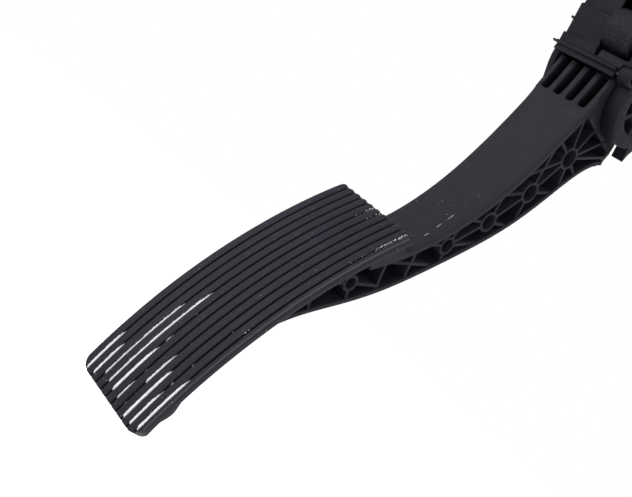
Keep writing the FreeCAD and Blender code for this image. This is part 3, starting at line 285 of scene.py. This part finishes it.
def distance_to_line(tree, place, start, end):
    """Distance in metres of the shaded point from a line between two points in millimetres."""
    a = Vector(start) * MM
    run = Vector(end) * MM - a
    away = node(tree, "ShaderNodeVectorMath", operation="SUBTRACT")
    link(tree, place, away.inputs[0])
    away.inputs[1].default_value = a
    along = node(tree, "ShaderNodeVectorMath", operation="DOT_PRODUCT")
    link(tree, away.outputs[0], along.inputs[0])
    along.inputs[1].default_value = run / run.length_squared
    share = math_node(tree, "MULTIPLY", along.outputs["Value"], 1.0, clamp=True)
    step = node(tree, "ShaderNodeVectorMath", operation="SCALE")
    step.inputs[0].default_value = run
    link(tree, share, step.inputs["Scale"])
    gap = node(tree, "ShaderNodeVectorMath", operation="DISTANCE")
    link(tree, away.outputs[0], gap.inputs[0])
    link(tree, step.outputs[0], gap.inputs[1])
    return gap.outputs["Value"]


def scratch_mask(tree, place):
    """White scratches and chips on the arm's front face."""
    ragged = noise(tree, place, 0.5, 2.0)
    total = 0.0
    marks = list(SCRATCHES)
    for spot in SPECKS:
        marks.append((spot, tuple(c + SPECK_LENGTH for c in spot), SPECK_R, SPECK_STRENGTH))
    for start, end, half, strength in marks:
        gap = distance_to_line(tree, place, start, end)
        wobble = math_node(tree, "MULTIPLY", ragged, 1.2 * half * MM)
        edge = math_node(tree, "ADD", gap, wobble)
        mark = ramp(tree, edge, 1.5 * half * MM, 1.0 * half * MM)
        mark = math_node(tree, "MULTIPLY", mark, strength)
        total = math_node(tree, "MAXIMUM", mark, total)
    return total


def dust_mask(tree, place, size_mm, least):
    """Scattered specks of dust, gathered in clouds."""
    fine = noise(tree, place, size_mm, 2.0, 0.7)
    cloud = noise(tree, place, 14.0 * size_mm, 3.0)
    fine = math_node(tree, "MULTIPLY", fine, 0.65)
    cloud = math_node(tree, "MULTIPLY", cloud, 0.35)
    mixed = math_node(tree, "ADD", fine, cloud)
    return ramp(tree, mixed, least, least + 0.05)


def plastic(name, colour, roughness, grain_mm, grain_depth_mm, specular=0.5, dust=None, extra=None):
    """Moulded plastic: fine spark-eroded grain, cloudy tone and sheen, a little dust."""
    material, tree = new_material(name)
    place = node(tree, "ShaderNodeTexCoord").outputs["Object"]
    cloud = noise(tree, place, 16.0, 4.0)
    darker = tuple(c * (1.0 - CLOUD_TONE) for c in colour)
    lighter = tuple(c * (1.0 + CLOUD_TONE) for c in colour)
    shade = blended(tree, ramp(tree, cloud, 0.3, 0.7), darker, lighter)
    rough = node(tree, "ShaderNodeMapRange")
    rough.inputs["To Min"].default_value = roughness - CLOUD_SHEEN
    rough.inputs["To Max"].default_value = roughness + CLOUD_SHEEN
    link(tree, cloud, rough.inputs["Value"])
    rough = rough.outputs[0]
    if dust:
        size_mm, least, strength = dust
        specks = math_node(tree, "MULTIPLY", dust_mask(tree, place, size_mm, least), strength)
        shade = blended(tree, specks, shade, DUST)
    if extra:
        # White marks: scratches and specks on the arm, painted highlights on the pad
        mask = extra(tree, place)
        shade = blended(tree, mask, shade, WHITE)
        rough = math_node(tree, "MAXIMUM", rough, math_node(tree, "MULTIPLY", mask, 0.8))
    bump = node(tree, "ShaderNodeBump", Strength=0.5, Distance=grain_depth_mm * MM)
    link(tree, noise(tree, place, grain_mm), bump.inputs["Height"])
    bsdf = node(tree, "ShaderNodeBsdfPrincipled")
    bsdf.inputs["Specular IOR Level"].default_value = specular
    out = node(tree, "ShaderNodeOutputMaterial")
    link(tree, shade, bsdf.inputs["Base Color"])
    link(tree, rough, bsdf.inputs["Roughness"])
    link(tree, bump.outputs[0], bsdf.inputs["Normal"])
    link(tree, bsdf.outputs[0], out.inputs[0])
    return material


def metal(name, colour, roughness):
    """Steel or brass with drawn scratches."""
    material, tree = new_material(name)
    place = node(tree, "ShaderNodeTexCoord")
    stretch = node(tree, "ShaderNodeMapping")
    stretch.inputs["Scale"].default_value = (40.0, 900.0, 900.0)
    lines = node(tree, "ShaderNodeTexNoise", Scale=3.0, Detail=4.0)
    rough = node(tree, "ShaderNodeMapRange")
    rough.inputs["To Min"].default_value = roughness - 0.1
    rough.inputs["To Max"].default_value = roughness + 0.12
    bump = node(tree, "ShaderNodeBump", Strength=0.3, Distance=0.03 * MM)
    bsdf = node(tree, "ShaderNodeBsdfPrincipled", Metallic=1.0)
    bsdf.inputs["Base Color"].default_value = tuple(colour) + (1.0,)
    out = node(tree, "ShaderNodeOutputMaterial")
    link(tree, place.outputs["Object"], stretch.inputs["Vector"])
    link(tree, stretch.outputs[0], lines.inputs["Vector"])
    link(tree, lines.outputs["Fac"], rough.inputs[0])
    link(tree, lines.outputs["Fac"], bump.inputs["Height"])
    link(tree, rough.outputs[0], bsdf.inputs["Roughness"])
    link(tree, bump.outputs[0], bsdf.inputs["Normal"])
    link(tree, bsdf.outputs[0], out.inputs[0])
    return material


def pad_painted_highlights(tree, place):
    """Painted highlights from the pad's mesh values: groove streaks, glints and a light edge line."""
    painted_streak = node(tree, "ShaderNodeAttribute", attribute_name="painted_streak").outputs["Fac"]
    painted_glint = node(tree, "ShaderNodeAttribute", attribute_name="painted_glint").outputs["Fac"]
    ragged = math_node(tree, "SUBTRACT", noise(tree, place, 1.6, 3.0, 0.7), 0.5)
    ragged = math_node(tree, "MULTIPLY", ragged, 0.6)
    white = ramp(tree, math_node(tree, "ADD", painted_streak, ragged), 0.1, 0.22)
    dots = math_node(tree, "MULTIPLY", noise(tree, place, 0.8, 1.0), painted_glint)
    painted_edge_highlight = node(tree, "ShaderNodeAttribute", attribute_name="painted_edge_highlight").outputs["Fac"]
    marks = math_node(tree, "MAXIMUM", white, ramp(tree, dots, 0.44, 0.52))
    return math_node(tree, "MAXIMUM", marks, math_node(tree, "MULTIPLY", painted_edge_highlight, 0.06))


# Colour, roughness, grain size and depth in millimetres, specular level, dust as size, threshold and strength
PLASTICS = {
    "arm_plastic": ((0.0140, 0.0146, 0.0192), 0.55, 0.4, 0.02, 0.1, (0.45, 0.66, 0.12), scratch_mask),
    # pad_rubber's white marks are painted highlights
    "pad_rubber": ((0.0088, 0.0098, 0.0155), 0.45, 0.5, 0.02, 0.11, (1.2, 0.5, 0.02), pad_painted_highlights),
    "housing_plastic": ((0.0095, 0.0100, 0.0140), 0.55, 0.4, 0.03, 0.09, (0.6, 0.6, 0.06)),
    "lever_plastic": ((0.0105, 0.0112, 0.0155), 0.6, 0.5, 0.02, 0.1, (1.6, 0.5, 0.06)),
    "bush_plastic": ((0.6, 0.58, 0.5), 0.4, 0.6, 0.01),
    "seal_rubber": ((0.012, 0.012, 0.012), 0.7, 0.4, 0.02),
    "board": ((0.02, 0.16, 0.07), 0.35, 0.8, 0.01),
    "chip": ((0.02, 0.02, 0.022), 0.5, 0.3, 0.01),
}
# Colour and roughness
METALS = {
    "shaft_steel": ((0.55, 0.55, 0.56), 0.3),
    "spring_steel": ((0.32, 0.31, 0.3), 0.4),
    "screw_steel": ((0.36, 0.36, 0.35), 0.42),
    "magnet_metal": ((0.55, 0.55, 0.55), 0.25),
    "contact_metal": ((0.7, 0.55, 0.2), 0.3),
}


def slot_material(slot):
    if slot in METALS:
        return metal(slot, *METALS[slot])
    return plastic(slot, *PLASTICS[slot])


def dress_nodes():
    made = {}
    for row in frame["record"]["subparts"]:
        slot = row["material_slot"]
        if slot not in made:
            made[slot] = slot_material(slot)
        mesh = NODES[row["node"]].data
        mesh.materials.clear()
        mesh.materials.append(made[slot])
    return made


# Width in millimetres of the rounding on each moulded node's edges
SOFT_EDGES = {"pedal_arm": 0.3, "housing": 0.35, "front_cover": 0.3, "sensor_cover": 0.3,
              "friction_lever": 0.35, "spring_seat": 0.2, "magnet_carrier": 0.2, "pivot_bush_left": 0.2,
              "pivot_bush_right": 0.2, "sensor_cover_screws": 0.15, "cover_screws": 0.2, "bolt_sleeves": 0.2,
              "pivot_shaft": 0.25}


def soften_edges():
    for name, width in SOFT_EDGES.items():
        piece = NODES[name]
        weld = piece.modifiers.new("weld", "WELD")
        weld.merge_threshold = 0.001 * MM
        bevel = piece.modifiers.new("bevel", "BEVEL")
        bevel.width = width * MM
        bevel.segments = 2
        bevel.limit_method = "ANGLE"
        bevel.angle_limit = math.radians(35.0)
        bevel.harden_normals = True
        for face in piece.data.polygons:
            face.use_smooth = True


def side_limits(s):
    """Left and right edge of the pad's outline at one length along it."""
    low = s - (PAD_LENGTH - LOWER_CORNER)
    high = UPPER_CORNER - NOSE_AHEAD - s
    cut = 0.0
    if low > 0:
        cut = LOWER_CORNER - math.sqrt(max(LOWER_CORNER ** 2 - low ** 2, 0.0))
    if high > 0:
        cut = UPPER_CORNER - math.sqrt(max(UPPER_CORNER ** 2 - high ** 2, 0.0))
    return PAD_LEFT + cut, PAD_RIGHT - cut


def pad_place(x, s, height):
    """Point in metres: across the pad, along its arc and above its base arc, all in millimetres."""
    angle = PAD_START + s / PAD_ARC_R
    r = PAD_ARC_R + height
    return Vector((x, PAD_ARC_Y + r * math.cos(angle), PAD_ARC_Z + r * math.sin(angle))) * MM


def rounded(share):
    """Rounded shoulder: steep at the foot, level at the top."""
    return 1.0 - (1.0 - min(max(share, 0.0), 1.0)) ** 2.4


def pad_height(x, s):
    """Height of the ridged top; the last ridge on the right is narrower."""
    k = min(int((x - PAD_LEFT) / PITCH), RIDGES - 1)
    left, right = ridge_span(k)
    from_left = x - left - (GROOVE_HALF if k else 0.0)
    from_right = right - x - (GROOVE_HALF if k < RIDGES - 1 else 0.0)
    side = min(from_left, from_right)
    outer = (k == 0 and from_left < from_right) or (k == RIDGES - 1 and from_right < from_left)
    reach = (from_left + from_right) / 2
    top = RIDGE_TOP - RIDGE_ARCH * (1.0 - side / reach) ** 2
    nose = s + NOSE_AHEAD
    if nose < reach:
        side = reach - math.hypot(reach - side, reach - nose)
    slope = EDGE_SLOPE if outer else GROOVE_SLOPE
    slope += (NOSE_SLOPE - slope) * max(0.0, 1.0 - nose / (1.5 * reach))
    base = GROOVE_FLOOR
    if outer:
        base += EDGE_RISE * min(max(nose / reach - 1.0, 0.0), 1.0)
    height = base + (top - base) * rounded(side / slope)
    end = PAD_LENGTH - s
    if end < EDGE_SLOPE:
        height -= END_DROP * (1.0 - rounded(end / EDGE_SLOPE)) * (height - GROOVE_FLOOR) / RIDGE_TOP
    return height


def ridge_span(k):
    left = PAD_LEFT + k * PITCH
    return left, PAD_RIGHT if k == RIDGES - 1 else left + PITCH


def painted_streak_at(x, s):
    """Painted highlight streak: from 1 on its middle down past 0 at its edge."""
    best = -1.0
    for groove, start, end, half in PAINTED_GROOVE_STREAKS:
        off = abs(x - (PAD_LEFT + groove * PITCH))
        if off > 2.0 or s < start - 3 or s > end + 3:
            continue
        short = min(8.0, (end - start) / 2)
        taper = min((s - start) / short, (end - s) / min(2.0, short), 1.0)
        width = half * math.sqrt(max(taper, 0.0))
        if width > 0:
            best = max(best, 1.0 - off / width)
    return best


# Painted highlight: strength of the white glint dots beside a groove at one point
def painted_glint_at(x, s):
    best = 0.0
    for groove, start, end, strength in PAINTED_GLINTS:
        off = abs(x - (PAD_LEFT + groove * PITCH) + GROOVE_HALF + 0.25)
        if off < 0.4 and start < s < end:
            best = max(best, strength * (1.0 - 0.6 * (s - start) / (end - start)))
    return best


def painted_edge_highlight_at(x, s):
    """1 on the light line painted along the pad's right edge, a painted highlight."""
    off = abs(x - (PAD_RIGHT - EDGE_SLOPE / 2))
    return max(0.0, 1.0 - off / 0.45) if s > 2.0 else 0.0


def pad_columns():
    """Places across the pad, closest together at the grooves' walls."""
    steps = [0.0, 0.22, 0.27, 0.34, 0.44, 0.56, 0.72, 0.95, 1.3, 1.75]
    places = []
    for k in range(RIDGES):
        left, right = ridge_span(k)
        half = (right - left) / 2
        near = [d for d in steps if d < half - 0.15]
        places += [left + d for d in near] + [left + half] + [right - d for d in reversed(near[1:])]
    return places + [PAD_RIGHT]


def pad_rows():
    """Places along the pad, closest together at its two ends."""
    nose = [-NOSE_AHEAD + 0.22 * k for k in range(20)]
    low = [PAD_LENGTH - d for d in (8.0, 7.0, 6.0, 5.0, 4.0, 3.1, 2.3, 1.6, 1.1, 0.7, 0.4, 0.18, 0.0)]
    middle = []
    s = nose[-1] + 0.5
    while s < low[0] - 0.4:
        middle.append(s)
        s += 1.0 if s > 84.0 else 1.6
    return nose + middle + low


def inner_outline(x, s):
    """Point of the wall's inner side nearest a point on the pad's outline."""
    radius = LOWER_CORNER - PAD_WALL
    left = PAD_LEFT + LOWER_CORNER
    right = PAD_RIGHT - LOWER_CORNER
    foot = PAD_LENGTH - LOWER_CORNER
    if s > foot and not left < x < right:
        corner = Vector((left if x < left else right, foot))
        out = Vector((x, s)) - corner
        out.normalize()
        return tuple(corner + out * radius)
    x = min(max(x, PAD_LEFT + PAD_WALL), PAD_RIGHT - PAD_WALL)
    return x, min(max(s, PAD_WALL), PAD_LENGTH - PAD_WALL)


def foot_bump(x, s):
    """How far a rounded foot bulges under the pad's right side wall."""
    if x < PAD_RIGHT - 0.01 or not BUMP_FROM < s < BUMP_TO:
        return 0.0
    share = (s - BUMP_FROM) / (BUMP_TO - BUMP_FROM)
    return BUMP_DEPTH * math.sin(math.pi * share) ** 1.3


def wall_loops(x, s):
    """(x, s, height) down the pad's outer wall; its right side is chamfered at the bottom."""
    chamfer = PAD_RIGHT - CHAMFER_WIDE
    share = min(max((x - chamfer) / CHAMFER_WIDE, 0.0), 1.0)
    bump = foot_bump(x, s)
    middle = -PAD_SIDE + max(CHAMFER_HIGH * share, 0.1)
    return [(x, s, GROOVE_FLOOR - 0.15), (x, max(s, -NOSE_AHEAD / 2), middle - bump),
            (min(x, chamfer), max(s, 0.0), -PAD_SIDE - bump)]


def ring_wall(form, upper, lower):
    """Faces between two loops of the same length."""
    count = len(upper)
    for k in range(count):
        n = (k + 1) % count
        form.faces.new((upper[k], upper[n], lower[n], lower[k]))


def pad_studs(form):
    """Moulded feet under the pad, through the holes in the arm's plate."""
    for x, start in STUDS:
        loops = []
        head = -PAD_SIDE - STUD_HEAD
        for height, less in ((-PAD_SKIN - 0.3, 0.0), (head + STUD_EASE, 0.0), (head, STUD_EASE)):
            loop = []
            for sx, ss in ((-1, -1), (1, -1), (1, 1), (-1, 1)):
                along = start + STUD_MIDDLE + ss * (STUD_LENGTH / 2 - less)
                loop.append(form.verts.new(pad_place(x + sx * (STUD_HALF - less), along, height)))
            loops.append(loop)
        for upper, lower in zip(loops, loops[1:]):
            ring_wall(form, upper, lower)
        form.faces.new(loops[0])
        form.faces.new(loops[-1][::-1])


def pad_mesh():
    """The foot pad: ridges with rounded noses, side walls, and a channel for the arm's plate."""
    form = bmesh.new()
    # Values of the pad's painted highlights: groove streaks, glints and the light edge line
    painted_streak = form.verts.layers.float.new("painted_streak")
    painted_glint = form.verts.layers.float.new("painted_glint")
    painted_edge_highlight = form.verts.layers.float.new("painted_edge_highlight")
    columns = pad_columns()
    grid = []
    for s in pad_rows():
        left, right = side_limits(s)
        row = []
        for place in columns:
            x = min(max(place, left), right)
            vert = form.verts.new(pad_place(x, s, pad_height(x, s)))
            vert[painted_streak] = max(0.0, painted_streak_at(x, s))
            vert[painted_glint] = painted_glint_at(x, s)
            vert[painted_edge_highlight] = painted_edge_highlight_at(x, s)
            row.append((vert, x, s))
        grid.append(row)
    for upper, lower in zip(grid, grid[1:]):
        for k in range(len(columns) - 1):
            form.faces.new((upper[k][0], lower[k][0], lower[k + 1][0], upper[k + 1][0]))
    edge = grid[0] + [row[-1] for row in grid[1:]] + grid[-1][-2::-1] + [row[0] for row in grid[-2:0:-1]]
    loops = [[vert for vert, _, _ in edge]]
    walls = [wall_loops(x, s) for _, x, s in edge]
    for level in range(3):
        loops.append([form.verts.new(pad_place(*column[level])) for column in walls])
    for height in (-PAD_SIDE, -PAD_SKIN):
        loop = []
        for _, x, s in edge:
            ix, along = inner_outline(x, s)
            loop.append(form.verts.new(pad_place(ix, along, height)))
        loops.append(loop)
    for upper, lower in zip(loops, loops[1:]):
        ring_wall(form, upper, lower)
    across = len(columns)
    down = len(grid)
    ceiling = loops[-1]
    right_side = ceiling[across - 1:across + down - 1]
    left_side = [ceiling[0]] + ceiling[:-(down - 1):-1] + [ceiling[2 * across + down - 3]]
    for k in range(down - 1):
        form.faces.new((left_side[k], right_side[k], right_side[k + 1], left_side[k + 1]))
    pad_studs(form)
    bmesh.ops.remove_doubles(form, verts=form.verts, dist=0.002 * MM)
    bmesh.ops.dissolve_degenerate(form, edges=form.edges, dist=0.001 * MM)
    bmesh.ops.recalc_face_normals(form, faces=form.faces)
    mesh = bpy.data.meshes.new("pad")
    form.to_mesh(mesh)
    form.free()
    return mesh


def foot_pad(rubber):
    mesh = pad_mesh()
    for face in mesh.polygons:
        face.use_smooth = True
    mesh.set_sharp_from_angle(angle=math.radians(38.0))
    made = bpy.data.objects.new("foot_pad", mesh)
    bpy.context.scene.collection.objects.link(made)
    mesh.materials.append(rubber)
    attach(made, "pedal")
    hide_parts("pedal_pad")


def springs(steel):
    """The two return springs, copied in spring steel and carried by the housing."""
    for name in ("return_spring_outer", "return_spring_inner"):
        made = bpy.data.objects.new(name.replace("return_spring", "coil"), NODES[name].data.copy())
        bpy.context.scene.collection.objects.link(made)
        made.data.materials.clear()
        made.data.materials.append(steel)
        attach(made, "housing")
        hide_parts(name)
        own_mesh(made)


def lamps():
    middle = (0.0, -0.09, -0.16)
    area_lamp("key", (-0.5, -1.2, 0.35), middle, (1.4, 1.4), 17.5)
    area_lamp("fill", (1.3, -0.3, 0.2), middle, (1.2, 1.2), 10.0)
    area_lamp("top", (0.1, 0.1, 1.3), middle, (1.2, 1.2), 7.0)
    area_lamp("back", (-0.7, 1.2, 0.4), middle, (1.4, 1.4), 14.0)


camera()
world()
floor()
lamps()
SLOTS = dress_nodes()
soften_edges()
foot_pad(SLOTS["pad_rubber"])
springs(SLOTS["spring_steel"])
bpy.context.scene.view_settings.view_transform = "Standard"
